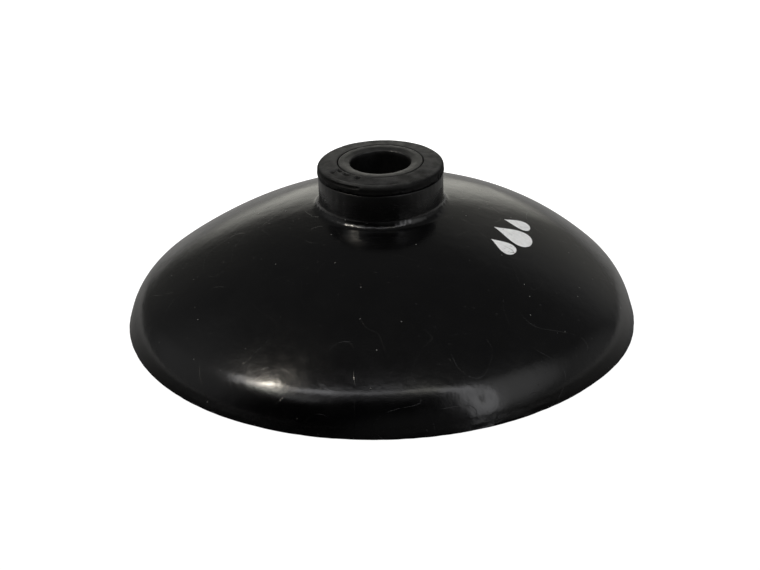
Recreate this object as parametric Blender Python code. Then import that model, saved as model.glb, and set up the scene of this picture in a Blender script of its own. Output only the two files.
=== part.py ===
"""Sink plunger head: a rubber cup with a bushed handle socket, standing on its rim.

Metres, +Z up. The origin is the centre of the rim's sealing face, and every piece is turned round Z.
The neck collar, the socket bush and the stop disc ride in the cup's neck and move down with it when the
dome is pushed, so they hang from one empty on the axis.
"""

import math

import bmesh
import bpy

# Cup: driving dimensions.
CUP_DIAMETER = 0.150        # across the rim
TOTAL_HEIGHT = 0.0476       # from the sealing face to the top of the collar and the bush
WALL = 0.0042               # rubber wall, the same from the rim to the dome
SKIRT_HEIGHT = 0.0029       # straight part of the wall above the sealing face
SKIRT_SLOPE = 74.0          # degrees from level
SHOULDER_RADIUS = 0.0180    # round edge between the skirt and the dome
SHOULDER_TOP_SLOPE = 41.0   # degrees from level, where the shoulder runs into the dome
DOME_RADIUS = 0.1000        # radius of the dome's arc
RIM_ROUNDING = 0.0008       # inner edge of the sealing face
NECK_RADIUS = 0.0181
NECK_FOOT_FILLET = 0.0018   # between the dome and the neck
NECK_TOP_ROUNDING = 0.0004

# Collar: a ring with a tongue that sits in a groove in the neck.
COLLAR_RADIUS = 0.0183
COLLAR_HEIGHT = 0.0027
COLLAR_ROUNDING = 0.0018    # top outer edge
TONGUE_INNER_RADIUS = 0.0142
TONGUE_OUTER_RADIUS = 0.0162
TONGUE_LENGTH = 0.0037      # below the collar's underside

# Handle socket: the bush, the disc under it and the boss that holds them inside the cup.
BUSH_RADIUS = 0.0122
BORE_RADIUS = 0.0088        # at the mouth, for a handle end of 18 mm pressed in
BORE_TAPER = 0.0003         # the bore is this much narrower at its foot
MOUTH_ROUNDING = 0.0005
BUSH_LENGTH = 0.0280
BUSH_RIB_HEIGHTS = (0.0030, 0.0090)     # lower edges of the two locking ribs, above the bush's foot
BUSH_RIB_WIDTH = 0.0022
BUSH_RIB_DEPTH = 0.0012
DISC_THICKNESS = 0.0020
DISC_CHAMFER = 0.0003
BOSS_WALL = 0.0041
BOSS_EDGE_ROUNDING = 0.0025
BOSS_FILLET = 0.0050        # between the boss and the dome's inner face
SOCKET_FLOOR = 0.0040       # rubber under the disc

GAP = 0.0003                # clearance between two pieces that touch
SIDES = 64                  # facets round the axis
SHARP_ANGLE = 35.0          # degrees, edges sharper than this are shaded as corners
MERGE_DISTANCE = 0.000001

# Heights and radii that follow from the dimensions above.
RIM_RADIUS = CUP_DIAMETER / 2
COLLAR_BOTTOM = TOTAL_HEIGHT - COLLAR_HEIGHT
NECK_TOP = COLLAR_BOTTOM - GAP
BUSH_FOOT = TOTAL_HEIGHT - BUSH_LENGTH
DISC_FOOT = BUSH_FOOT - GAP - DISC_THICKNESS
CAVITY_FLOOR = DISC_FOOT - GAP
CAVITY_RADIUS = BUSH_RADIUS + GAP
BOSS_RADIUS = CAVITY_RADIUS + BOSS_WALL
BOSS_BOTTOM = CAVITY_FLOOR - SOCKET_FLOOR


def point_on_circle(centre, radius, degrees):
    """Give the point of a circle in the (radius, height) plane, with angles from outward to upward."""
    angle = math.radians(degrees)
    return (centre[0] + radius * math.cos(angle), centre[1] + radius * math.sin(angle))


def arc(centre, radius, start, end, steps):
    """List the points of an arc from start to end degrees, both ends included."""
    return [point_on_circle(centre, radius, start + (end - start) * step / steps) for step in range(steps + 1)]


def circle_height(centre, reach, radius):
    """Give the height at which a point of this radius is a given reach above a centre."""
    return centre[1] + math.sqrt(reach ** 2 - (radius - centre[0]) ** 2)


def angle_from(centre, point):
    """Give the direction from a centre to a point, in degrees."""
    return math.degrees(math.atan2(point[1] - centre[1], point[0] - centre[0]))


def cup_centres():
    """Find the centres of the shoulder's and the dome's arcs, which run into each other without a kink."""
    skirt_top = (RIM_RADIUS - SKIRT_HEIGHT / math.tan(math.radians(SKIRT_SLOPE)), SKIRT_HEIGHT)
    shoulder = point_on_circle(skirt_top, -SHOULDER_RADIUS, 90 - SKIRT_SLOPE)
    dome = point_on_circle(shoulder, SHOULDER_RADIUS - DOME_RADIUS, 90 - SHOULDER_TOP_SLOPE)
    return shoulder, dome


def cup_inside():
    """Outline the cup's hidden face, from the axis under the boss to the rim's inner edge."""
    shoulder, dome = cup_centres()
    inner_dome_radius = DOME_RADIUS - WALL
    fillet_radius = BOSS_RADIUS + BOSS_FILLET
    fillet = (fillet_radius, circle_height(dome, inner_dome_radius - BOSS_FILLET, fillet_radius))
    fillet_end = angle_from(dome, fillet)
    boss_edge = (BOSS_RADIUS - BOSS_EDGE_ROUNDING, BOSS_BOTTOM + BOSS_EDGE_ROUNDING)
    skirt_foot = point_on_circle(shoulder, SHOULDER_RADIUS - WALL, 90 - SKIRT_SLOPE)
    rim_inner = skirt_foot[0] + skirt_foot[1] / math.tan(math.radians(SKIRT_SLOPE))
    return [
        (0.0, BOSS_BOTTOM),
        *arc(boss_edge, BOSS_EDGE_ROUNDING, -90, 0, 3),
        *arc(fillet, BOSS_FILLET, 180, fillet_end, 4),
        *arc(dome, inner_dome_radius, fillet_end, 90 - SHOULDER_TOP_SLOPE, 8)[1:],
        *arc(shoulder, SHOULDER_RADIUS - WALL, 90 - SHOULDER_TOP_SLOPE, 90 - SKIRT_SLOPE, 4)[1:],
        (rim_inner, RIM_ROUNDING),
        (rim_inner + RIM_ROUNDING, 0.0),
    ]


def cup_outside():
    """Outline the cup's outer face, from the rim's outer edge to the top of the neck."""
    shoulder, dome = cup_centres()
    fillet_radius = NECK_RADIUS + NECK_FOOT_FILLET
    fillet = (fillet_radius, circle_height(dome, DOME_RADIUS + NECK_FOOT_FILLET, fillet_radius))
    dome_end = angle_from(dome, fillet)
    neck_edge = (NECK_RADIUS - NECK_TOP_ROUNDING, NECK_TOP - NECK_TOP_ROUNDING)
    return [
        (RIM_RADIUS, 0.0),
        *arc(shoulder, SHOULDER_RADIUS, 90 - SKIRT_SLOPE, 90 - SHOULDER_TOP_SLOPE, 5),
        *arc(dome, DOME_RADIUS, 90 - SHOULDER_TOP_SLOPE, dome_end, 10)[1:],
        *arc(fillet, NECK_FOOT_FILLET, dome_end + 180, 180, 4)[1:],
        *arc(neck_edge, NECK_TOP_ROUNDING, 0, 90, 2),
    ]


def cup_socket():
    """Outline the collar's groove and the socket's cavity, from the top of the neck to the axis."""
    groove_floor = COLLAR_BOTTOM - TONGUE_LENGTH - GAP
    outline = [
        (TONGUE_OUTER_RADIUS + GAP, NECK_TOP),
        (TONGUE_OUTER_RADIUS + GAP, groove_floor),
        (TONGUE_INNER_RADIUS - GAP, groove_floor),
        (TONGUE_INNER_RADIUS - GAP, NECK_TOP),
        (CAVITY_RADIUS, NECK_TOP),
    ]
    for rib in reversed(BUSH_RIB_HEIGHTS):
        low = BUSH_FOOT + rib - GAP
        high = BUSH_FOOT + rib + BUSH_RIB_WIDTH + GAP
        outline += [
            (CAVITY_RADIUS, high),
            (CAVITY_RADIUS + BUSH_RIB_DEPTH, high),
            (CAVITY_RADIUS + BUSH_RIB_DEPTH, low),
            (CAVITY_RADIUS, low),
        ]
    return outline + [(CAVITY_RADIUS, CAVITY_FLOOR), (0.0, CAVITY_FLOOR)]


def collar_outline():
    """Outline the collar and its tongue, with heights from the collar's underside."""
    top_edge = (COLLAR_RADIUS - COLLAR_ROUNDING, COLLAR_HEIGHT - COLLAR_ROUNDING)
    return [
        (TONGUE_INNER_RADIUS, 0.0),
        (TONGUE_INNER_RADIUS, -TONGUE_LENGTH),
        (TONGUE_OUTER_RADIUS, -TONGUE_LENGTH),
        (TONGUE_OUTER_RADIUS, 0.0),
        (COLLAR_RADIUS, 0.0),
        *arc(top_edge, COLLAR_ROUNDING, 0, 90, 5),
        (CAVITY_RADIUS, COLLAR_HEIGHT),
        (CAVITY_RADIUS, 0.0),
    ]


def bush_outline():
    """Outline the bush, with heights from its foot: the bore, the mouth and the ribbed outside."""
    mouth = (BORE_RADIUS + MOUTH_ROUNDING, BUSH_LENGTH - MOUTH_ROUNDING)
    outline = [
        (BUSH_RADIUS, BUSH_LENGTH),
        *arc(mouth, MOUTH_ROUNDING, 90, 180, 3),
        (BORE_RADIUS - BORE_TAPER, 0.0),
        (BUSH_RADIUS, 0.0),
    ]
    for rib in BUSH_RIB_HEIGHTS:
        outline += [
            (BUSH_RADIUS, rib),
            (BUSH_RADIUS + BUSH_RIB_DEPTH, rib),
            (BUSH_RADIUS + BUSH_RIB_DEPTH, rib + BUSH_RIB_WIDTH),
            (BUSH_RADIUS, rib + BUSH_RIB_WIDTH),
        ]
    return outline


def disc_outline():
    """Outline the stop disc, with heights from its underside."""
    return [
        (0.0, 0.0),
        (BUSH_RADIUS - DISC_CHAMFER, 0.0),
        (BUSH_RADIUS, DISC_CHAMFER),
        (BUSH_RADIUS, DISC_THICKNESS - DISC_CHAMFER),
        (BUSH_RADIUS - DISC_CHAMFER, DISC_THICKNESS),
        (0.0, DISC_THICKNESS),
    ]


def make_material(name, colour, roughness, metallic=0.0):
    """Make a Principled material."""
    material = bpy.data.materials.new(name)
    material.use_nodes = True
    shader = material.node_tree.nodes["Principled BSDF"]
    shader.inputs["Base Color"].default_value = (*colour, 1.0)
    shader.inputs["Roughness"].default_value = roughness
    shader.inputs["Metallic"].default_value = metallic
    return material


def make_turned(name, outline, material):
    """Turn an outline of (radius, height) points round Z into a closed solid."""
    form = bmesh.new()
    corners = [form.verts.new((radius, 0.0, height)) for radius, height in outline]
    ends_on_axis = outline[0][0] == 0.0 and outline[-1][0] == 0.0
    following = corners[1:] if ends_on_axis else corners[1:] + corners[:1]
    edges = [form.edges.new(pair) for pair in zip(corners, following)]
    bmesh.ops.spin(form, geom=corners + edges, cent=(0, 0, 0), axis=(0, 0, 1), angle=math.tau, steps=SIDES)
    bmesh.ops.remove_doubles(form, verts=form.verts, dist=MERGE_DISTANCE)
    bmesh.ops.recalc_face_normals(form, faces=form.faces)
    mesh = bpy.data.meshes.new(name)
    form.to_mesh(mesh)
    form.free()
    mesh.shade_smooth()
    mesh.set_sharp_from_angle(angle=math.radians(SHARP_ANGLE))
    mesh.materials.append(material)
    piece = bpy.data.objects.new(name, mesh)
    bpy.context.collection.objects.link(piece)
    return piece


def make_socket_axis():
    """Place the empty that the moving pieces hang from, on the axis at the height of the socket's floor."""
    empty = bpy.data.objects.new("socket_axis", None)
    empty.location = (0.0, 0.0, CAVITY_FLOOR)
    bpy.context.collection.objects.link(empty)
    return empty


def hang(piece, parent, height):
    """Parent a piece to the socket's empty, with its own zero at a height above the rim."""
    piece.parent = parent
    piece.location = (0.0, 0.0, height - parent.location.z)


def build():
    """Build the cup and the pieces of its handle socket."""
    for leftover in list(bpy.data.objects):
        bpy.data.objects.remove(leftover)

    cup_rubber = make_material("cup_rubber", (0.006, 0.006, 0.0065), 0.28)
    collar_rubber = make_material("collar_rubber", (0.018, 0.018, 0.019), 0.60)
    bush_plastic = make_material("bush_plastic", (0.030, 0.030, 0.032), 0.50)
    disc_steel = make_material("disc_steel", (0.55, 0.56, 0.58), 0.35, metallic=1.0)

    make_turned("cup", cup_inside() + cup_outside() + cup_socket(), cup_rubber)
    socket_axis = make_socket_axis()
    hang(make_turned("neck_collar", collar_outline(), collar_rubber), socket_axis, COLLAR_BOTTOM)
    hang(make_turned("socket_bush", bush_outline(), bush_plastic), socket_axis, BUSH_FOOT)
    hang(make_turned("stop_disc", disc_outline(), disc_steel), socket_axis, DISC_FOOT)


build()
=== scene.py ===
"""Looks of the sink plunger head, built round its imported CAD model.

Metres, +Z up. The origin is the centre of the rim's sealing face, and -Y is the front.
"""

import math

import bmesh
import bpy
import numpy as np
from mathutils import Matrix, Vector, noise


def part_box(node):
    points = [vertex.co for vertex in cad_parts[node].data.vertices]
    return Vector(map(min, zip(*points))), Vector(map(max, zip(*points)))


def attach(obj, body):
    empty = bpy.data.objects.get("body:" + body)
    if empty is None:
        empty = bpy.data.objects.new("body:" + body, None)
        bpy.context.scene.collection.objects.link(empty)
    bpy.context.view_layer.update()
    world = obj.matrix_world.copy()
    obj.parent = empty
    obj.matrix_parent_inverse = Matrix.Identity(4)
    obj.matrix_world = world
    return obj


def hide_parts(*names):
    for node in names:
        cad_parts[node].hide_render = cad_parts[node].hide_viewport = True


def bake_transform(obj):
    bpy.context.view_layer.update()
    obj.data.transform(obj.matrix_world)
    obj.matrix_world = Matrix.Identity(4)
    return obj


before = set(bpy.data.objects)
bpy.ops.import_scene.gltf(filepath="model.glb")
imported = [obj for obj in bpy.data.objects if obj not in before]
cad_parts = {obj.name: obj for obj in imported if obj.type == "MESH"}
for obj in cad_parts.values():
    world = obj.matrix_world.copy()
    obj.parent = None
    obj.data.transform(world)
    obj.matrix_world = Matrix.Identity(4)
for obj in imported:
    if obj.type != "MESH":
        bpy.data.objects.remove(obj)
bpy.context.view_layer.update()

# Sizes that the frame gives.
_, CUP_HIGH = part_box("cup")
COLLAR_LOW, COLLAR_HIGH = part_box("neck_collar")
BUSH_LOW, BUSH_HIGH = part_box("socket_bush")
DISC_LOW, DISC_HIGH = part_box("stop_disc")
RIM_RADIUS = CUP_HIGH.x
NECK_TOP = CUP_HIGH.z
COLLAR_RADIUS = COLLAR_HIGH.x
TOP = COLLAR_HIGH.z
BUSH_FOOT = BUSH_LOW.z
DISC_RADIUS = DISC_HIGH.x

# Shape of the cup's wall, as in the CAD model unless a comment says otherwise.
GAP = 0.0003                # between neighbouring pieces
WALL = 0.0042
SKIRT_HEIGHT = 0.0029
SKIRT_SLOPE = 74.0          # degrees from level
SHOULDER_RADIUS = 0.0180
SHOULDER_TOP_SLOPE = 41.0   # degrees from level, where the shoulder runs into the dome
DOME_RADIUS = 0.1000
NECK_RADIUS = 0.0181
NECK_FOOT_FILLET = 0.0028   # fuller than in the CAD model
NECK_TOP_ROUNDING = 0.0002  # sharper than in the CAD model
RIM_ROUNDING = 0.0008
RIM_EDGE_ROUNDING = 0.0003  # sharp in the CAD model

# Socket, collar, bush and disc, in the same way. The undercut, the crown, the dish and the small roundings
# aren't in the CAD model.
COLLAR_BOTTOM = NECK_TOP + GAP
COLLAR_ROUNDING = 0.0012    # sharper than in the CAD model
COLLAR_UNDERCUT = 0.0003    # under the collar's outer edge
CROWN = 0.0005              # the collar's top rises towards the bush, which stands as high
TONGUE_INNER_RADIUS = 0.0142
TONGUE_OUTER_RADIUS = 0.0162
TONGUE_FOOT = COLLAR_LOW.z
BUSH_RADIUS = DISC_RADIUS
BUSH_RIB_RADIUS = BUSH_HIGH.x
BUSH_RIB_FEET = (0.0030, 0.0090)
BUSH_RIB_WIDTH = 0.0022
BORE_RADIUS = 0.0088
BORE_TAPER = 0.0003
MOUTH_ROUNDING = 0.0005
DISH_WIDTH = 0.0014         # the bush's top dips towards its mouth
DISH_DEPTH = 0.00030
SMALL_ROUNDING = 0.0002     # of the edges where the collar and the bush meet
DISC_ROUNDING = 0.0003
CAVITY_RADIUS = BUSH_RADIUS + GAP
CAVITY_FLOOR = DISC_LOW.z - GAP
BOSS_WALL = 0.0041
BOSS_FLOOR = 0.0040
BOSS_RADIUS = CAVITY_RADIUS + BOSS_WALL
BOSS_BOTTOM = CAVITY_FLOOR - BOSS_FLOOR
BOSS_EDGE_ROUNDING = 0.0025
BOSS_FILLET = 0.0050
SPLIT_HEIGHT = 0.0315       # where the bell's moulding is divided from the boss, behind the bush

# The soft wall isn't true: the dome is a little higher at +X than at -X, the neck on it leans less and
# stands off the middle, and the rim bulges out at one place.
DOME_LEAN = 0.0325          # rise for each unit of distance from the axis
NECK_LEAN = 0.010
LEAN_HEIGHT = 0.030         # the lean grows from nothing at the rim to its whole at this height
NECK_SHIFT = 0.00066        # the neck's distance from the axis, towards +X
NECK_RADII = (0.024, 0.045)     # all moves with the neck within the first, with the dome beyond the second
BULGE = 0.0007
BULGE_AZIMUTH = -23         # degrees from +X, as is every azimuth down to the print's
BULGE_WIDTH = 14            # degrees

# Sides of each turned piece, and the angle in degrees between two faces from which their edge is sharp.
BELL_SIDES = 480
BOSS_SIDES = 240
COLLAR_SIDES = 720
BUSH_SIDES = 240
DISC_SIDES = 120
SHARP_ANGLE = 40

# Unevenness of the bell. Each wave is given by its height, the size of its features and its seed.
BELL_WAVES = ((0.00005, 0.022, 0.0), (0.00002, 0.007, 5.0))
NECK_WAVES = ((0.00005, 0.006, 9.0),)
NECK_STREAKS = ((0.00006, 0.0014, 11.0),)
STREAK_SQUEEZE = 0.2        # heights shrink to this share before the noise is read, so streaks run upright
RIM_NOTCHES = ((0.00012, 0.004, 3.0),)
RIM_NOTCH_TOP = 0.0012
HOLLOW_PLACE = Vector((0.0272, -0.0668, 0.0074))    # a shallow round hollow on the shoulder
HOLLOW_RADIUS = 0.0016
HOLLOW_DEPTH = 0.00018

# Unevenness of the collar and the bush. A range of azimuths fades out over its last few degrees.
COLLAR_WAVES = ((0.00006, 0.005, 0.0), (0.00002, 0.0013, 4.0))
COLLAR_SEEN_RADIUS = TONGUE_INNER_RADIUS - 0.0010   # what lies nearer to the axis or lower stays smooth
COLLAR_SEEN_HEIGHT = COLLAR_BOTTOM - 0.0001
PITS = (                    # the radius and the azimuth of each
    (0.0152, -154), (0.0131, -154), (0.0130, -149), (0.0133, -140), (0.0131, -135), (0.0135, -119),
)
# The pits sink well below the top's height, where the collar's colour turns black: painted shade in them.
PIT_RADIUS = 0.00055
PIT_DEPTH = 0.0017
GROOVE_RADIUS = 0.0166      # of the circle on which a shallow groove lies, inside a thin lip
GROOVE_AZIMUTHS = (-145, -68)
GROOVE_FADE = 12.0          # degrees
GROOVE_WIDTH = 0.00045
GROOVE_DEPTH = 0.00018
CREASE_AZIMUTHS = (-152, -108)
CREASE_FADE = 5.0           # degrees
CREASE_BELOW_TOP = 0.0007
CREASE_WANDER = ((0.00012, 0.003, 6.0),)    # its ups and downs
CREASE_WIDTH = 0.00030
CREASE_DEPTH = 0.00055
CREASE_LIP = 0.00018
NICK_AZIMUTHS = (-27, -22, -18, -13.5)
NICK_WIDTH = 0.7            # degrees
NICK_DEPTH = 0.00045
NICK_TOP = COLLAR_BOTTOM + 0.0019
NICK_FADE = 0.0004
SCUFF_AZIMUTH = -69
SCUFF_BELOW_TOP = 0.0019
SCUFF_RADIUS = 0.0015
SCUFF_WAVES = ((0.00012, 0.0006, 8.0),)
TORN_HEIGHT = 0.0009        # of the ragged strip along the lower edge
TORN_FLASH = 0.00015        # how far the strip stands out where nothing is bitten off
TORN_DEPTH = 0.00050
TORN_BITES = ((1.0, 0.0022, 7.0), (0.5, 0.0007, 2.0))
BUSH_WAVES = ((0.00002, 0.002, 2.0),)
BUSH_SEEN_HEIGHT = TOP - 0.001

# The printed mark: three water drops on the dome.
PRINT_RADIUS = 0.0402       # the drops' distance from the axis
PRINT_AZIMUTH = -19.6
PRINT_THICKNESS = 0.00004
PRINT_DROPS = (             # how far aside each drop stands, its height and its half width
    (0.0, 0.0125, 0.0042),
    (-0.0077, 0.0085, 0.0029),
    (0.0077, 0.0085, 0.0029),
)
DROP_FULLNESS = 1.3         # how far its sides swell out
DROP_TAPER = 1.5            # how thin its upper end is
DROP_MIDDLE = 0.35          # how far its middle lies below its half height, as a share of that half
DROP_RINGS = 9
DROP_SIDES = 72


# --- Outlines -------------------------------------------------------------------------------------------

SHOULDER_START = 90 - SKIRT_SLOPE           # the shoulder's ends, as angles from outward to upward
SHOULDER_END = 90 - SHOULDER_TOP_SLOPE


def point_on_circle(centre, radius, degrees):
    """Give the point of a circle in the (radius, height) plane, with angles from outward to upward."""
    angle = math.radians(degrees)
    return (centre[0] + radius * math.cos(angle), centre[1] + radius * math.sin(angle))


def arc(centre, radius, start, end, spacing):
    """List the points of an arc from start to end degrees, about a spacing apart, both ends included."""
    steps = max(2, round(abs(math.radians(end - start)) * radius / spacing))
    turns = [start + (end - start) * step / steps for step in range(steps + 1)]
    return [point_on_circle(centre, radius, turn) for turn in turns]


def run(start, end, spacing):
    """List a straight run's points after its start, about a spacing apart, with its end included."""
    steps = max(1, round(math.dist(start, end) / spacing))
    return [
        (start[0] + (end[0] - start[0]) * step / steps, start[1] + (end[1] - start[1]) * step / steps)
        for step in range(1, steps + 1)
    ]


def whole_run(start, end, spacing):
    """List the points of a straight run, about a spacing apart, with both ends included."""
    return [start] + run(start, end, spacing)


def circle_height(centre, reach, radius):
    """Give the height at which a point of this radius is a given reach above a centre."""
    return centre[1] + math.sqrt(reach ** 2 - (radius - centre[0]) ** 2)


def angle_from(centre, point):
    """Give the direction from a centre to a point, in degrees."""
    return math.degrees(math.atan2(point[1] - centre[1], point[0] - centre[0]))


def wall_centres():
    """Find the centres of the shoulder's and the dome's arcs."""
    skirt_top = (RIM_RADIUS - SKIRT_HEIGHT / math.tan(math.radians(SKIRT_SLOPE)), SKIRT_HEIGHT)
    shoulder = point_on_circle(skirt_top, -SHOULDER_RADIUS, SHOULDER_START)
    dome = point_on_circle(shoulder, SHOULDER_RADIUS - DOME_RADIUS, SHOULDER_END)
    return shoulder, dome


SHOULDER, DOME = wall_centres()
NECK_FOOT = circle_height(DOME, DOME_RADIUS, NECK_RADIUS)


def boss_fillet():
    """Find the fillet between the boss and the dome: its centre, its end's angle and the point there."""
    radius = BOSS_RADIUS + BOSS_FILLET
    centre = (radius, circle_height(DOME, DOME_RADIUS - WALL - BOSS_FILLET, radius))
    end = angle_from(DOME, centre)
    return centre, end, point_on_circle(DOME, DOME_RADIUS - WALL, end)


FILLET_CENTRE, FILLET_END, SEAM = boss_fillet()


def cavity_wall(top, bottom):
    """List the points down the socket's cavity wall between two heights, with its rib grooves."""
    depth = BUSH_RIB_RADIUS + GAP
    points = [(CAVITY_RADIUS, top)]
    for rib in reversed(BUSH_RIB_FEET):
        low = BUSH_FOOT + rib - GAP
        high = BUSH_FOOT + rib + BUSH_RIB_WIDTH + GAP
        if bottom < low and high < top:
            points += [(CAVITY_RADIUS, high), (depth, high), (depth, low), (CAVITY_RADIUS, low)]
    return points + [(CAVITY_RADIUS, bottom)]


def bell_inside():
    """Outline the wall's inner face, from the boss down to the rim's sealing face."""
    skirt_top = point_on_circle(SHOULDER, SHOULDER_RADIUS - WALL, SHOULDER_START)
    rim_inner = skirt_top[0] + skirt_top[1] / math.tan(math.radians(SKIRT_SLOPE))
    rounding = (rim_inner + RIM_ROUNDING, RIM_ROUNDING)
    return (
        arc(DOME, DOME_RADIUS - WALL, FILLET_END, SHOULDER_END, spacing=0.0016)
        + arc(SHOULDER, SHOULDER_RADIUS - WALL, SHOULDER_END, SHOULDER_START, spacing=0.0007)[1:]
        + run(skirt_top, (rim_inner, RIM_ROUNDING), spacing=0.0008)
        + arc(rounding, RIM_ROUNDING, 180, 270, spacing=0.0003)[1:]
    )


def bell_outside():
    """Outline the shoulder, the dome and the neck, from the skirt up to the neck's top."""
    fillet_radius = NECK_RADIUS + NECK_FOOT_FILLET
    fillet = (fillet_radius, circle_height(DOME, DOME_RADIUS + NECK_FOOT_FILLET, fillet_radius))
    dome_end = angle_from(DOME, fillet)
    neck_edge = (NECK_RADIUS - NECK_TOP_ROUNDING, NECK_TOP - NECK_TOP_ROUNDING)
    return (
        arc(SHOULDER, SHOULDER_RADIUS, SHOULDER_START, SHOULDER_END, spacing=0.0005)
        + arc(DOME, DOME_RADIUS, SHOULDER_END, dome_end, spacing=0.0010)[1:]
        + arc(fillet, NECK_FOOT_FILLET, dome_end + 180, 180, spacing=0.0003)[1:]
        + run((NECK_RADIUS, fillet[1]), (NECK_RADIUS, neck_edge[1]), spacing=0.0005)
        + arc(neck_edge, NECK_TOP_ROUNDING, 0, 90, spacing=0.0001)[1:]
    )


def bell_outline():
    """Outline the bell: the wall's inner face, the rim, the outer face, the neck and the socket's top."""
    inside, outside = bell_inside(), bell_outside()
    rim_edge = (RIM_RADIUS - RIM_EDGE_ROUNDING, RIM_EDGE_ROUNDING)
    rim = (
        run(inside[-1], (rim_edge[0], 0.0), spacing=0.0010)
        + arc(rim_edge, RIM_EDGE_ROUNDING, 270, 360, spacing=0.0002)[1:]
    )
    skirt = run(rim[-1], outside[0], spacing=0.0006)[:-1]
    groove_floor = TONGUE_FOOT - GAP
    groove = [
        (TONGUE_OUTER_RADIUS + GAP, NECK_TOP),
        (TONGUE_OUTER_RADIUS + GAP, groove_floor),
        (TONGUE_INNER_RADIUS - GAP, groove_floor),
        (TONGUE_INNER_RADIUS - GAP, NECK_TOP),
    ]
    return inside + rim + skirt + outside + groove + cavity_wall(NECK_TOP, SPLIT_HEIGHT)


def boss_outline():
    """Outline the boss under the dome, which holds the lower part of the socket."""
    edge = (BOSS_RADIUS - BOSS_EDGE_ROUNDING, BOSS_BOTTOM + BOSS_EDGE_ROUNDING)
    return (
        whole_run((0.0, BOSS_BOTTOM), (edge[0], BOSS_BOTTOM), spacing=0.0012)
        + arc(edge, BOSS_EDGE_ROUNDING, -90, 0, spacing=0.0004)[1:]
        + run((BOSS_RADIUS, edge[1]), (BOSS_RADIUS, FILLET_CENTRE[1]), spacing=0.0008)
        + arc(FILLET_CENTRE, BOSS_FILLET, 180, FILLET_END, spacing=0.0005)[1:]
        + cavity_wall(SPLIT_HEIGHT, CAVITY_FLOOR)
        + [(0.0, CAVITY_FLOOR)]
    )


def collar_outline():
    """Outline the collar with its tongue, finely enough on its outside for torn flash and pits."""
    edge = (COLLAR_RADIUS - COLLAR_ROUNDING, TOP - COLLAR_ROUNDING)
    lower_edge = (COLLAR_RADIUS, COLLAR_BOTTOM + COLLAR_UNDERCUT)
    inner_edge = (CAVITY_RADIUS + SMALL_ROUNDING, TOP + CROWN - SMALL_ROUNDING)
    return (
        [(TONGUE_INNER_RADIUS, COLLAR_BOTTOM), (TONGUE_INNER_RADIUS, TONGUE_FOOT)]
        + [(TONGUE_OUTER_RADIUS, TONGUE_FOOT), (TONGUE_OUTER_RADIUS, COLLAR_BOTTOM)]
        + run((TONGUE_OUTER_RADIUS, COLLAR_BOTTOM), lower_edge, spacing=0.0004)
        + run(lower_edge, (COLLAR_RADIUS, edge[1]), spacing=0.00015)
        + arc(edge, COLLAR_ROUNDING, 0, 90, spacing=0.00018)[1:]
        + run((edge[0], TOP), (inner_edge[0], TOP + CROWN), spacing=0.00018)
        + arc(inner_edge, SMALL_ROUNDING, 90, 180, spacing=0.0001)[1:]
        + [(CAVITY_RADIUS, COLLAR_BOTTOM)]
    )


def bush_outline():
    """Outline the bush: its top, its mouth, the bore and the ribbed outside."""
    top = TOP + CROWN
    edge = (BUSH_RADIUS - SMALL_ROUNDING, top - SMALL_ROUNDING)
    mouth = (BORE_RADIUS + MOUTH_ROUNDING, top - DISH_DEPTH - MOUTH_ROUNDING)
    dish_edge = (mouth[0] + DISH_WIDTH, top)
    points = (
        arc(edge, SMALL_ROUNDING, 0, 90, spacing=0.0001)
        + run((edge[0], top), dish_edge, spacing=0.0004)
        + run(dish_edge, (mouth[0], top - DISH_DEPTH), spacing=0.0004)
        + arc(mouth, MOUTH_ROUNDING, 90, 180, spacing=0.00012)[1:]
        + run((BORE_RADIUS, mouth[1]), (BORE_RADIUS - BORE_TAPER, BUSH_FOOT), spacing=0.0010)
        + [(BUSH_RADIUS, BUSH_FOOT)]
    )
    for foot in BUSH_RIB_FEET:
        low, high = BUSH_FOOT + foot, BUSH_FOOT + foot + BUSH_RIB_WIDTH
        points += [(BUSH_RADIUS, low), (BUSH_RIB_RADIUS, low)]
        points += [(BUSH_RIB_RADIUS, high), (BUSH_RADIUS, high)]
    return points


def disc_outline():
    """Outline the stop disc, with rounded edges."""
    edge = DISC_RADIUS - DISC_ROUNDING
    low, high = DISC_LOW.z, DISC_HIGH.z
    return (
        whole_run((0.0, low), (edge, low), spacing=0.0020)
        + arc((edge, low + DISC_ROUNDING), DISC_ROUNDING, -90, 0, spacing=0.0001)[1:]
        + arc((edge, high - DISC_ROUNDING), DISC_ROUNDING, 0, 90, spacing=0.0001)
        + run((edge, high), (0.0, high), spacing=0.0010)
    )


# --- Relief: how far the rubber stands off its nominal surface, in metres -------------------------------


def ripple(place, size, seed):
    """Give smooth noise from -1 to 1 with features of about this size."""
    return noise.noise(place / size + Vector((seed, 2 * seed, 3 * seed)))


def waves(place, kinds):
    """Add up smooth noises, each given by its height, the size of its features and its seed."""
    return sum(height * ripple(place, size, seed) for height, size, seed in kinds)


def on_circle(radius, azimuth, height):
    """Give the place at a radius, an azimuth in degrees and a height."""
    angle = math.radians(azimuth)
    return Vector((radius * math.cos(angle), radius * math.sin(angle), height))


def peak(distance, width):
    """Give a soft peak, from 1 at no distance to nothing a few widths away."""
    return math.exp(-(distance / width) ** 2)


def bump_at(place, centre, radius):
    """Give a soft round bump, from 1 at the centre to nothing a few radii away."""
    return peak((place - centre).length, radius)


def azimuth_of(place):
    """Give a place's azimuth in degrees, from -180 to 180."""
    return math.degrees(math.atan2(place.y, place.x))


def eased(share):
    """Ease a share from 0 to 1, held at both ends."""
    share = min(max(share, 0.0), 1.0)
    return share ** 2 * (3 - 2 * share)


def within(value, low, high, margin):
    """Give 1 well inside a range and 0 outside it, with a soft margin at both ends."""
    return eased(min(value - low, high - value) / margin)


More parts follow.
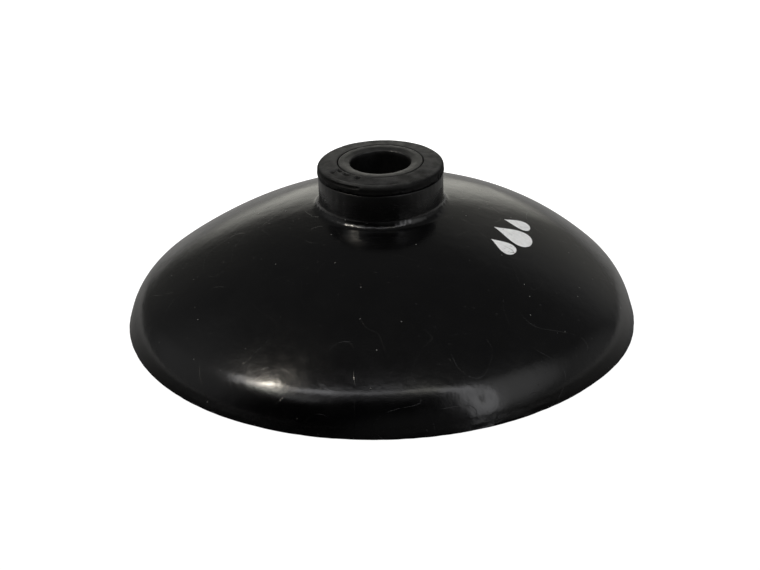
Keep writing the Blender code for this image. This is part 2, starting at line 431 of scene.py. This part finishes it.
def bell_relief(place):
    """The moulding's slow waves, a streaky neck, a hollow in the shoulder and a ragged edge at the rim."""
    height = waves(place, BELL_WAVES)
    if place.z > NECK_FOOT:
        squeezed = Vector((place.x, place.y, STREAK_SQUEEZE * place.z))
        height += waves(place, NECK_WAVES) + waves(squeezed, NECK_STREAKS)
    if place.z < RIM_NOTCH_TOP:
        height -= abs(waves(place, RIM_NOTCHES))
    return height - HOLLOW_DEPTH * bump_at(place, HOLLOW_PLACE, HOLLOW_RADIUS)


def collar_relief(place):
    """The collar's uneven trimmed surface, with a groove and pits in its top and wear on its side."""
    radius = math.hypot(place.x, place.y)
    if radius < COLLAR_SEEN_RADIUS or place.z < COLLAR_SEEN_HEIGHT:
        return 0.0
    azimuth = azimuth_of(place)
    height = waves(place, COLLAR_WAVES)
    groove = peak(radius - GROOVE_RADIUS, GROOVE_WIDTH) * within(azimuth, *GROOVE_AZIMUTHS, GROOVE_FADE)
    height -= GROOVE_DEPTH * groove
    for pit_radius, pit_azimuth in PITS:
        height -= PIT_DEPTH * bump_at(place, on_circle(pit_radius, pit_azimuth, place.z), PIT_RADIUS)
    if radius > TONGUE_OUTER_RADIUS:
        height += crease_relief(place, azimuth) + nick_relief(place, azimuth)
        height += scuff_relief(place) + torn_relief(place)
    return height


def crease_relief(place, azimuth):
    """A torn crease along the upper edge of the collar's side, with a thin lip standing above it."""
    above = place.z - (TOP - CREASE_BELOW_TOP + waves(place, CREASE_WANDER))
    cut = CREASE_DEPTH * peak(above, CREASE_WIDTH)
    lip = CREASE_LIP * peak(above - 2 * CREASE_WIDTH, CREASE_WIDTH)
    return within(azimuth, *CREASE_AZIMUTHS, CREASE_FADE) * (lip - cut)


def nick_relief(place, azimuth):
    """A few upright nicks in the side, close above the lower edge."""
    nicks = sum(peak(azimuth - nick, NICK_WIDTH) for nick in NICK_AZIMUTHS)
    return -NICK_DEPTH * within(place.z, COLLAR_BOTTOM, NICK_TOP, NICK_FADE) * min(nicks, 1.0)


def scuff_relief(place):
    """A scuffed patch on the front of the side."""
    middle = on_circle(COLLAR_RADIUS, SCUFF_AZIMUTH, TOP - SCUFF_BELOW_TOP)
    return waves(place, SCUFF_WAVES) * bump_at(place, middle, SCUFF_RADIUS)


def torn_relief(place):
    """A strip of flash along the side's lower edge, with bites torn out of it."""
    share = (place.z - COLLAR_BOTTOM) / TORN_HEIGHT
    if share >= 1:
        return 0.0
    bites = max(0.0, waves(place, TORN_BITES))
    return (TORN_FLASH - TORN_DEPTH * bites) * (1 - share)


def bush_relief(place):
    """Faint unevenness on the bush's top."""
    return waves(place, BUSH_WAVES) if place.z > BUSH_SEEN_HEIGHT else 0.0


# --- Meshes ---------------------------------------------------------------------------------------------


def turned(name, outline, sides, relief=None):
    """Turn an outline round Z into a closed mesh."""
    rows = np.array(outline, float)
    angles = np.arange(sides) * math.tau / sides
    points, index = [], np.zeros((len(rows), sides), int)
    for row, (radius, height) in enumerate(rows):
        if radius == 0.0:
            index[row] = len(points)
            points.append((0.0, 0.0, height))
        else:
            index[row] = len(points) + np.arange(sides)
            points += [(radius * math.cos(angle), radius * math.sin(angle), height) for angle in angles]
    ends_on_axis = rows[0][0] == 0.0 and rows[-1][0] == 0.0
    last = len(rows) - 1 if ends_on_axis else len(rows)
    faces = []
    for row in range(last):
        low, high = index[row], index[(row + 1) % len(rows)]
        for side in range(sides):
            after = (side + 1) % sides
            corners = (low[side], low[after], high[after], high[side])
            faces.append(tuple(dict.fromkeys(int(corner) for corner in corners)))
    mesh = bpy.data.meshes.new(name)
    mesh.from_pydata(points, [], faces)
    turn_faces_out(mesh)
    return finished(mesh, relief)


def finished(mesh, relief=None):
    """Give a mesh its relief, its places at rest, its lean and its shading, and make it an object."""
    if relief is not None:
        raise_relief(mesh, relief)
    keep_rest_places(mesh)
    for vertex in mesh.vertices:
        vertex.co = leaned(vertex.co)
    mesh.shade_smooth()
    mesh.set_sharp_from_angle(angle=math.radians(SHARP_ANGLE))
    piece = bpy.data.objects.new(mesh.name, mesh)
    bpy.context.collection.objects.link(piece)
    return piece


def leaned(place):
    """Lean a place over with the dome or the neck, shift it with the neck, and bulge the rim out."""
    radius = math.hypot(place.x, place.y)
    neck, dome = NECK_RADII
    with_neck = eased((dome - radius) / (dome - neck))
    lean = DOME_LEAN + (NECK_LEAN - DOME_LEAN) * with_neck
    bulge = BULGE * peak(azimuth_of(place) - BULGE_AZIMUTH, BULGE_WIDTH)
    bulge *= eased(1 - place.z / LEAN_HEIGHT) * eased(radius / RIM_RADIUS)
    outward = Vector((place.x, place.y, 0.0)).normalized()
    rise = lean * place.x * eased(place.z / LEAN_HEIGHT)
    return place + outward * bulge + Vector((NECK_SHIFT * with_neck, 0.0, rise))


def turn_faces_out(mesh):
    """Make every face point out."""
    form = bmesh.new()
    form.from_mesh(mesh)
    bmesh.ops.recalc_face_normals(form, faces=form.faces)
    form.to_mesh(mesh)
    form.free()


def raise_relief(mesh, relief):
    """Move every vertex along its normal by the relief at its place."""
    normals = [vertex.normal.copy() for vertex in mesh.vertices]
    for vertex, normal in zip(mesh.vertices, normals):
        vertex.co += normal * relief(vertex.co)
    mesh.update()


def keep_rest_places(mesh):
    """Store each vertex's place at rest, so that a texture stays put when the rubber flexes."""
    places = np.zeros(len(mesh.vertices) * 3, np.float32)
    mesh.vertices.foreach_get("co", places)
    layer = mesh.attributes.new("rest_place", "FLOAT_VECTOR", "POINT")
    layer.data.foreach_set("vector", places)


def on_dome(aside, up):
    """Give the place and the normal on the dome, aside from and up above the printed mark's middle."""
    slope = math.asin((PRINT_RADIUS - DOME[0]) / DOME_RADIUS) - up / DOME_RADIUS
    azimuth = PRINT_AZIMUTH + math.degrees(aside / PRINT_RADIUS)
    radius = DOME[0] + DOME_RADIUS * math.sin(slope)
    height = DOME[1] + DOME_RADIUS * math.cos(slope)
    return on_circle(radius, azimuth, height), on_circle(math.sin(slope), azimuth, math.cos(slope))


def print_point(aside, up):
    """Give the place of a point of the print, which lies on the bell's own relief."""
    place, normal = on_dome(aside, up)
    return place + normal * (bell_relief(place) + PRINT_THICKNESS)


def drop_ring(aside, height, half_width, inward):
    """List the points of a ring in a drop, a share of the way in from its outline to its middle."""
    points = []
    for turn in (math.tau * side / DROP_SIDES for side in range(DROP_SIDES)):
        taper = abs(math.sin(turn / 2)) ** DROP_TAPER
        across = DROP_FULLNESS * half_width * math.sin(turn) * taper * (1 - inward)
        up = (height / 2) * (math.cos(turn) * (1 - inward) - DROP_MIDDLE * inward)
        points.append(print_point(aside + across, up))
    return points


def add_drop(form, aside, height, half_width):
    """Fill a drop with rings of faces, from its outline in to its middle."""
    rings = []
    for ring in range(DROP_RINGS):
        points = drop_ring(aside, height, half_width, ring / DROP_RINGS)
        rings.append([form.verts.new(point) for point in points])
    middle = form.verts.new(print_point(aside, -DROP_MIDDLE * height / 2))
    for outer, inner in zip(rings, rings[1:]):
        for side in range(DROP_SIDES):
            after = (side + 1) % DROP_SIDES
            form.faces.new((outer[side], outer[after], inner[after], inner[side]))
    for side in range(DROP_SIDES):
        form.faces.new((rings[-1][side], rings[-1][(side + 1) % DROP_SIDES], middle))


def printed_drops():
    """Make the mark: three printed water drops, which lie flat on the dome."""
    form = bmesh.new()
    for aside, height, half_width in PRINT_DROPS:
        add_drop(form, aside, height, half_width)
    form.normal_update()
    for face in form.faces:
        if face.normal.z < 0:
            face.normal_flip()
    mesh = bpy.data.meshes.new("printed_drops")
    form.to_mesh(mesh)
    form.free()
    return finished(mesh)


# --- Materials: their lengths are in millimetres, and they read each point's place at rest --------------

MILLIMETRES = 1000.0            # in a metre
NOISE_RANGE = (0.28, 0.72)      # nearly all of a noise texture's values lie in it
NOISE_MIDDLE = 0.5
NOISE_STEEPNESS = 0.35          # how much the noise changes over a length of its own size
SPECK_CORE = 0.6                # the share of a speck's radius within which it is at its fullest
SCRATCH_BREAKS = (-1.6, 1.2)    # a scratch shows only where patches in this range are above 0
SCRATCH_BREAK_SIZE = 0.4        # of those patches, as a share of the scratches' own size
MIX_COLOURS = (6, 7)            # the two colour inputs of a mix node, and its colour output
MIX_RESULT = 2


def put(tree, kind, inputs=None, **settings):
    """Add a node, set its properties, and set or link its inputs."""
    made = tree.nodes.new(kind)
    for key, value in settings.items():
        setattr(made, key, value)
    for key, value in (inputs or {}).items():
        if isinstance(value, bpy.types.NodeSocket):
            tree.links.new(value, made.inputs[key])
        else:
            made.inputs[key].default_value = value
    return made


def arithmetic(tree, operation, *values):
    """Work out one operation on values, and give the result."""
    return put(tree, "ShaderNodeMath", dict(enumerate(values)), operation=operation).outputs[0]


def times(tree, value, factor):
    """Multiply two values."""
    return arithmetic(tree, "MULTIPLY", value, factor)


def total(tree, first, *rest):
    """Add up values."""
    for value in rest:
        first = arithmetic(tree, "ADD", first, value)
    return first


def mixed(tree, share, colours):
    """Mix two colours, from the first at a share of 0 to the second at 1."""
    mix = put(tree, "ShaderNodeMix", {"Factor": share}, data_type="RGBA")
    for socket, colour in zip(MIX_COLOURS, colours):
        mix.inputs[socket].default_value = (*colour, 1.0)
    return mix.outputs[MIX_RESULT]


def scaled(tree, value, from_low, from_high, low, high):
    """Map a value from one range to another, smoothly and held at both ends."""
    inputs = {"Value": value, "From Min": from_low, "From Max": from_high, "To Min": low, "To Max": high}
    return put(tree, "ShaderNodeMapRange", inputs, interpolation_type="SMOOTHSTEP").outputs[0]


def patches(tree, place, size, low, high, detail=2.0):
    """Vary a value between low and high, in patches of about this size."""
    field = put(tree, "ShaderNodeTexNoise", {"Vector": place, "Scale": 1.0 / size, "Detail": detail})
    return scaled(tree, field.outputs[0], *NOISE_RANGE, low, high)


def swings(tree, place, size, reach, detail=2.0):
    """Vary a value by up to a reach to both sides of 0, in patches of about this size."""
    return patches(tree, place, size, -reach, reach, detail)


def specks(tree, place, spacing, radius, share):
    """Mark a share of scattered round specks with 1."""
    cells = put(tree, "ShaderNodeTexVoronoi", {"Vector": place, "Scale": 1.0 / spacing})
    edge = radius / spacing
    near = scaled(tree, cells.outputs["Distance"], SPECK_CORE * edge, edge, 1.0, 0.0)
    pick = put(tree, "ShaderNodeSeparateColor", {"Color": cells.outputs["Color"]}).outputs["Red"]
    return times(tree, near, arithmetic(tree, "LESS_THAN", pick, share))


def scratches(tree, place, size, width):
    """Mark short thin curved scratches with up to 1."""
    field = put(tree, "ShaderNodeTexNoise", {"Vector": place, "Scale": 1.0 / size, "Detail": 0.0})
    offset = arithmetic(tree, "ABSOLUTE", arithmetic(tree, "SUBTRACT", field.outputs[0], NOISE_MIDDLE))
    lines = scaled(tree, offset, 0.0, NOISE_STEEPNESS * width / size, 1.0, 0.0)
    return times(tree, lines, patches(tree, place, SCRATCH_BREAK_SIZE * size, *SCRATCH_BREAKS, detail=0.0))


def near_top(tree, place, depth):
    """Give 1 at the height of the collar's top, falling to 0 at a depth below it."""
    height = put(tree, "ShaderNodeSeparateXYZ", {"Vector": place}).outputs["Z"]
    return scaled(tree, height, MILLIMETRES * TOP - depth, MILLIMETRES * TOP, 0.0, 1.0)


def distance_from_axis(tree, place):
    """Give a place's distance from the axis on which the pieces are turned."""
    parts = put(tree, "ShaderNodeSeparateXYZ", {"Vector": place})
    flat = put(tree, "ShaderNodeCombineXYZ", {"X": parts.outputs["X"], "Y": parts.outputs["Y"]}).outputs[0]
    return put(tree, "ShaderNodeVectorMath", {0: flat}, operation="LENGTH").outputs["Value"]


def start_material(name):
    """Start a material, and give it, its tree and the place at rest in millimetres."""
    material = bpy.data.materials.new(name)
    material.use_nodes = True
    tree = material.node_tree
    rest = put(tree, "ShaderNodeAttribute", attribute_name="rest_place").outputs["Vector"]
    place = put(tree, "ShaderNodeVectorMath", {0: rest, "Scale": MILLIMETRES}, operation="SCALE").outputs[0]
    return material, tree, place


def finish_material(material, tree, colours, shade, roughness, height, metallic=0.0, specular=0.5):
    """Give the shader its two colours, mixed by the shade, its roughness and its relief in millimetres."""
    shader = tree.nodes["Principled BSDF"]
    tree.links.new(mixed(tree, shade, colours), shader.inputs["Base Color"])
    tree.links.new(roughness, shader.inputs["Roughness"])
    bump = put(tree, "ShaderNodeBump", {"Height": height, "Distance": 1.0 / MILLIMETRES})
    tree.links.new(bump.outputs[0], shader.inputs["Normal"])
    shader.inputs["Metallic"].default_value = metallic
    shader.inputs["Specular IOR Level"].default_value = specular
    return material


def cup_rubber_material():
    """Glossy mottled black rubber, duller on the neck, with a grain, thin scratches, dust and pits."""
    material, tree, place = start_material("cup_rubber")
    dust = specks(tree, place, spacing=4.5, radius=0.24, share=0.9)
    pits = specks(tree, place, spacing=3.1, radius=0.26, share=0.9)
    cuts = scratches(tree, place, size=15.0, width=0.10)
    grain = swings(tree, place, size=0.6, reach=0.002)
    blotches = swings(tree, place, size=3.5, reach=0.009)
    marks = total(tree, times(tree, dust, 0.05), times(tree, pits, -0.05), times(tree, cuts, -0.012))
    height = total(tree, grain, blotches, marks)
    gloss = patches(tree, place, size=18.0, low=0.17, high=0.205)
    mottle = swings(tree, place, size=3.0, reach=0.015)
    dull_neck = times(tree, near_top(tree, place, depth=9.5), 0.30)
    roughness = total(tree, gloss, mottle, times(tree, dust, 0.4), dull_neck)
    bloom = patches(tree, place, size=9.0, low=0.0, high=0.006)
    shade = total(tree, dust, bloom, times(tree, cuts, 0.06))
    black, dusty = (0.0006, 0.0006, 0.0008), (0.10, 0.10, 0.095)
    return finish_material(material, tree, (black, dusty), shade, roughness, height)


def collar_rubber_material():
    """Matte trimmed rubber with a grain, greyer on its top, which is painted light from above in patches of
    wear, and black in the pits sunk in the top, which is painted shade.
    """
    material, tree, place = start_material("collar_rubber")
    cuts = scratches(tree, place, size=6.0, width=0.10)
    grain = swings(tree, place, size=0.35, reach=0.006, detail=3.0)
    blotches = swings(tree, place, size=2.0, reach=0.01)
    height = total(tree, grain, blotches, times(tree, cuts, -0.02))
    dullness = patches(tree, place, size=2.5, low=0.50, high=0.64)
    roughness = total(tree, dullness, swings(tree, place, size=0.5, reach=0.03))
    wear = patches(tree, place, size=3.5, low=0.1, high=0.7)
    fine_wear = patches(tree, place, size=0.5, low=0.0, high=0.3)
    # Painted light and shade: the colour turns grey only within half a millimetre below the top's height at
    # rest, so the top is painted lighter than the side, and the pits and the groove sunk in it are painted
    # dark; within the top the grey comes in patches of wear.
    shade = times(tree, total(tree, wear, fine_wear), near_top(tree, place, depth=0.5))
    black, grey = (0.0015, 0.0015, 0.0015), (0.043, 0.043, 0.043)
    return finish_material(material, tree, (black, grey), shade, roughness, height, specular=0.2)


def bush_plastic_material():
    """Moulded plastic with faint rings from its turned mould, grey in patches of wear near its top and
    darker down the bore, which is painted shade.
    """
    material, tree, place = start_material("bush_plastic")
    rings = arithmetic(tree, "SINE", times(tree, distance_from_axis(tree, place), 14.0))
    grain = swings(tree, place, size=0.3, reach=0.004)
    blotches = swings(tree, place, size=2.0, reach=0.008)
    height = total(tree, grain, times(tree, rings, 0.003), blotches)
    dullness = patches(tree, place, size=2.0, low=0.40, high=0.50)
    roughness = total(tree, dullness, times(tree, rings, 0.02))
    wear = patches(tree, place, size=1.6, low=0.5, high=1.0)
    # Painted shade: the grey fades out over a millimetre and a half below the top's height at rest, so the
    # dish and the bore darken as they sink; near the top the grey comes in patches of wear.
    shade = times(tree, wear, near_top(tree, place, depth=1.5))
    black, grey = (0.001, 0.001, 0.001), (0.014, 0.014, 0.014)
    return finish_material(material, tree, (black, grey), shade, roughness, height)


def disc_steel_material():
    """Zinc-plated steel, brushed in rings and dulled in patches."""
    material, tree, place = start_material("disc_steel")
    line = put(tree, "ShaderNodeCombineXYZ", {"X": distance_from_axis(tree, place)}).outputs[0]
    rings = swings(tree, line, size=0.12, reach=0.003, detail=3.0)
    height = total(tree, rings, swings(tree, place, size=1.2, reach=0.004))
    dullness = patches(tree, place, size=2.2, low=0.28, high=0.46)
    roughness = total(tree, dullness, swings(tree, place, size=0.4, reach=0.03))
    shade = patches(tree, place, size=1.8, low=0.0, high=1.0)
    dull, bright = (0.36, 0.37, 0.38), (0.60, 0.61, 0.62)
    return finish_material(material, tree, (dull, bright), shade, roughness, height, metallic=1.0)


def print_ink_material():
    """White printing ink, worn through in pinholes and a little grey."""
    material, tree, place = start_material("print_ink")
    pinholes = specks(tree, place, spacing=0.9, radius=0.16, share=0.35)
    holes = total(tree, pinholes, scratches(tree, place, size=5.0, width=0.12))
    height = total(tree, swings(tree, place, size=0.25, reach=0.004), times(tree, holes, -0.03))
    roughness = patches(tree, place, size=1.0, low=0.42, high=0.58)
    wear = patches(tree, place, size=1.5, low=0.0, high=0.12)
    fine_wear = patches(tree, place, size=0.4, low=0.0, high=0.08)
    shade = total(tree, holes, wear, fine_wear)
    white, grey = (0.86, 0.87, 0.88), (0.16, 0.16, 0.16)
    return finish_material(material, tree, (white, grey), shade, roughness, height)


# --- Stage, lights and camera ---------------------------------------------------------------------------

CUP_MIDDLE = Vector((0.0, 0.0, 0.02))

WHITE = (1.0, 1.0, 1.0)
WARM = (1.0, 0.93, 0.80)
WARM_WHITE = (1.0, 0.985, 0.90)
COOL = (0.97, 0.97, 1.0)

# Each light lies between two directions seen from the cup, given as azimuth from the front (right is
# positive) and elevation. Then come its width in degrees, the power in watts that it would have at 1 m, and
# its colour.
LIGHTS = {
    "key": ((-70.5, 46.5), (-69.5, 54), 2.0, 2.0, WARM),
    "key_spill": ((-70, 43), (-57, 46.5), 7.0, 0.58, WARM_WHITE),
    "key_wing": ((-84, 41), (-71, 47), 9.0, 0.36, COOL),
    "low_spill": ((-56, 41.5), (-34, 44), 9.0, 0.11, COOL),
    "band_fade": ((-34, 48), (18, 51), 8.0, 0.04, COOL),
    "left_strip": ((-58, 52.5), (-30, 59), 5.5, 0.37, COOL),
    "top_strip": ((-30, 59), (14, 61.5), 5.0, 0.26, COOL),
    "right_strip": ((13, 61), (36, 54.5), 5.0, 0.22, WARM_WHITE),
    "corner": ((35, 54), (48, 44), 5.0, 0.25, COOL),
    "right_edge": ((44, 44), (43, 2), 11.0, 0.76, COOL),
}
LIGHT_DISTANCE = 3.0

# A fill above the cup's front. It faces down and a little to the front.
FILL_PLACE = (0.0, -1.0, 3.0)
FILL_TILT = -math.atan2(1.0, 3.0)
FILL_SIZE = 3.0
FILL_POWER = 45.0

# The room is dim all round, and dark towards one direction. Its light grows from nothing between these two
# cosines of the angle from there.
DARK_MIDDLE = (-12, 22)
DARK_COSINES = (0.86, 0.40)
ROOM_LIGHT = 0.105

# Soft glows of the room: azimuth, elevation, how many degrees they reach, and their strength.
GLOWS = (
    (61, 27, 30, 0.70),     # the wall on the right
    (98, 5, 26, 0.13),      # the same, farther back
    (-94, 22, 36, 0.18),    # the wall on the left
    (150, 20, 32, 0.16),    # the wall behind, on the right
    (12, 0, 36, 0.08),      # the far end of the room, in front
    (-179, 2, 25, 1.25),    # the white ground behind
)

# The room's light turns a warmer white towards this direction, between these cosines of the angle from it.
WARM_MIDDLE = (178, 1)
WARM_COSINES = (0.5, 1.0)

# The floor, and the photographer's shade on it in front of the cup: its middle, its reach across and along,
# and the shares of that reach between which it ends softly.
FLOOR_REACH = 6.0
FLOOR_HEIGHT = -0.0001
FLOOR_SHADED = 0.04
FLOOR_PALE = 0.46
SHADE_MIDDLE = (-0.01, -0.45, 0.0)
SHADE_REACH = (0.20, 0.40, 1.0)
SHADE_EDGE = (0.95, 1.40)

CAMERA_PLACE = (0.0, -0.4543, 0.2331)
CAMERA_TURN = 0.02          # degrees to the left
CAMERA_TILT = 63.66         # degrees up from straight down
CAMERA_ROLL = -1.16         # degrees
CAMERA_LENS = 80.5          # mm
CAMERA_SENSOR = 36.0        # mm
CAMERA_NEAR = 0.01


def toward(azimuth, elevation):
    """Give the direction at an azimuth from the front, positive to the right, and an elevation."""
    around, up = math.radians(azimuth), math.radians(elevation)
    return Vector((math.sin(around) * math.cos(up), -math.cos(around) * math.cos(up), math.sin(up)))


def add_light(name, start, end, width, power, colour):
    """Hang a soft strip light between two directions, facing the cup."""
    first, last = toward(*start), toward(*end)
    middle = (first + last) / 2
    along = (last - first).normalized()
    away = (middle - along * middle.dot(along)).normalized()
    data = bpy.data.lights.new(name, "AREA")
    data.shape = "RECTANGLE"
    data.size = (last - first).length * LIGHT_DISTANCE
    data.size_y = math.radians(width) * LIGHT_DISTANCE
    data.energy = power * LIGHT_DISTANCE ** 2
    data.color = colour
    light = bpy.data.objects.new(name, data)
    turn = Matrix((along, away.cross(along), away)).transposed().to_4x4()
    light.matrix_world = Matrix.Translation(CUP_MIDDLE + middle * LIGHT_DISTANCE) @ turn
    bpy.context.collection.objects.link(light)


def add_fill():
    """Hang a broad soft fill above, which lights matt surfaces and doesn't show in the gloss."""
    data = bpy.data.lights.new("fill", "AREA")
    data.size = FILL_SIZE
    data.energy = FILL_POWER
    fill = bpy.data.objects.new("fill", data)
    fill.location = FILL_PLACE
    fill.rotation_euler = (FILL_TILT, 0.0, 0.0)
    fill.visible_glossy = False
    bpy.context.collection.objects.link(fill)


def closeness(tree, direction, azimuth, elevation):
    """Give the cosine of the angle between a ray and a direction of the room."""
    inputs = {0: direction, 1: toward(azimuth, elevation)}
    return put(tree, "ShaderNodeVectorMath", inputs, operation="DOT_PRODUCT").outputs["Value"]


def room_light(tree, direction):
    """Give the strength of the room's light in a direction."""
    light = scaled(tree, closeness(tree, direction, *DARK_MIDDLE), *DARK_COSINES, 0.0, ROOM_LIGHT)
    for azimuth, elevation, reach, strength in GLOWS:
        close = closeness(tree, direction, azimuth, elevation)
        light = total(tree, light, scaled(tree, close, math.cos(math.radians(reach)), 1.0, 0.0, strength))
    return light


def make_world():
    """Surround the cup with a dim room that is dark in front, and white where the camera sees it."""
    world = bpy.data.worlds.new("studio")
    world.use_nodes = True
    tree = world.node_tree
    tree.nodes.clear()
    direction = put(tree, "ShaderNodeTexCoord").outputs["Generated"]
    warmth = scaled(tree, closeness(tree, direction, *WARM_MIDDLE), *WARM_COSINES, 0.0, 1.0)
    colour = mixed(tree, warmth, (WHITE, WARM_WHITE))
    room = put(tree, "ShaderNodeBackground", {"Color": colour, "Strength": room_light(tree, direction)})
    white = put(tree, "ShaderNodeBackground", {"Strength": 1.0})
    seen = put(tree, "ShaderNodeLightPath").outputs["Is Camera Ray"]
    both = put(tree, "ShaderNodeMixShader", {0: seen, 1: room.outputs[0], 2: white.outputs[0]})
    put(tree, "ShaderNodeOutputWorld", {"Surface": both.outputs[0]})
    bpy.context.scene.world = world


def floor_material():
    """A pale floor that looks white, and throws little light back where the photographer's shade falls."""
    material = bpy.data.materials.new("floor")
    material.use_nodes = True
    tree = material.node_tree
    tree.nodes.clear()
    place = put(tree, "ShaderNodeTexCoord").outputs["Object"]
    aside = put(tree, "ShaderNodeVectorMath", {0: place, 1: SHADE_MIDDLE}, operation="SUBTRACT").outputs[0]
    shares = put(tree, "ShaderNodeVectorMath", {0: aside, 1: SHADE_REACH}, operation="DIVIDE").outputs[0]
    away = put(tree, "ShaderNodeVectorMath", {0: shares}, operation="LENGTH").outputs["Value"]
    paleness = scaled(tree, away, *SHADE_EDGE, FLOOR_SHADED, FLOOR_PALE)
    matt = put(tree, "ShaderNodeBsdfDiffuse", {"Color": paleness})
    seen = put(tree, "ShaderNodeLightPath").outputs["Is Camera Ray"]
    glow = put(tree, "ShaderNodeEmission", {"Strength": seen})
    both = put(tree, "ShaderNodeAddShader", {0: matt.outputs[0], 1: glow.outputs[0]})
    put(tree, "ShaderNodeOutputMaterial", {"Surface": both.outputs[0]})
    return material


def make_floor():
    """Lay the floor just under the rim."""
    mesh = bpy.data.meshes.new("floor")
    sides = [(-1, -1), (1, -1), (1, 1), (-1, 1)]
    corners = [(FLOOR_REACH * across, FLOOR_REACH * along, FLOOR_HEIGHT) for across, along in sides]
    mesh.from_pydata(corners, [], [(0, 1, 2, 3)])
    floor = bpy.data.objects.new("floor", mesh)
    bpy.context.collection.objects.link(floor)
    mesh.materials.append(floor_material())


def make_camera():
    """Stand the camera where the photographer stood: low, in front, looking down at the cup."""
    data = bpy.data.cameras.new("camera")
    data.sensor_width = CAMERA_SENSOR
    data.lens = CAMERA_LENS
    data.clip_start = CAMERA_NEAR
    camera = bpy.data.objects.new("camera", data)
    bpy.context.collection.objects.link(camera)
    camera.matrix_world = (
        Matrix.Translation(CAMERA_PLACE)
        @ Matrix.Rotation(math.radians(CAMERA_TURN), 4, "Z")
        @ Matrix.Rotation(math.radians(CAMERA_TILT), 4, "X")
        @ Matrix.Rotation(math.radians(CAMERA_ROLL), 4, "Z")
    )
    bpy.context.scene.camera = camera
    bpy.context.scene.view_settings.view_transform = "Standard"


# --- Assembly -------------------------------------------------------------------------------------------

make_camera()
make_world()
make_floor()
for light_name, settings in LIGHTS.items():
    add_light(light_name, *settings)
add_fill()

cup_rubber = cup_rubber_material()

bell = turned("cup_bell", bell_outline(), BELL_SIDES, bell_relief)
bell.data.materials.append(cup_rubber)
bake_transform(bell)
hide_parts("cup")

boss = turned("cup_boss", boss_outline(), BOSS_SIDES)
boss.data.materials.append(cup_rubber)
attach(boss, "socket")

drops = printed_drops()
drops.data.materials.append(print_ink_material())
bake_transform(drops)

collar = turned("collar_ring", collar_outline(), COLLAR_SIDES, collar_relief)
collar.data.materials.append(collar_rubber_material())
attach(collar, "socket")
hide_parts("neck_collar")

bush = turned("bush_liner", bush_outline(), BUSH_SIDES, bush_relief)
bush.data.materials.append(bush_plastic_material())
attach(bush, "socket")
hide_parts("socket_bush")

disc = turned("stop_plate", disc_outline(), DISC_SIDES)
disc.data.materials.append(disc_steel_material())
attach(disc, "socket")
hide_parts("stop_disc")
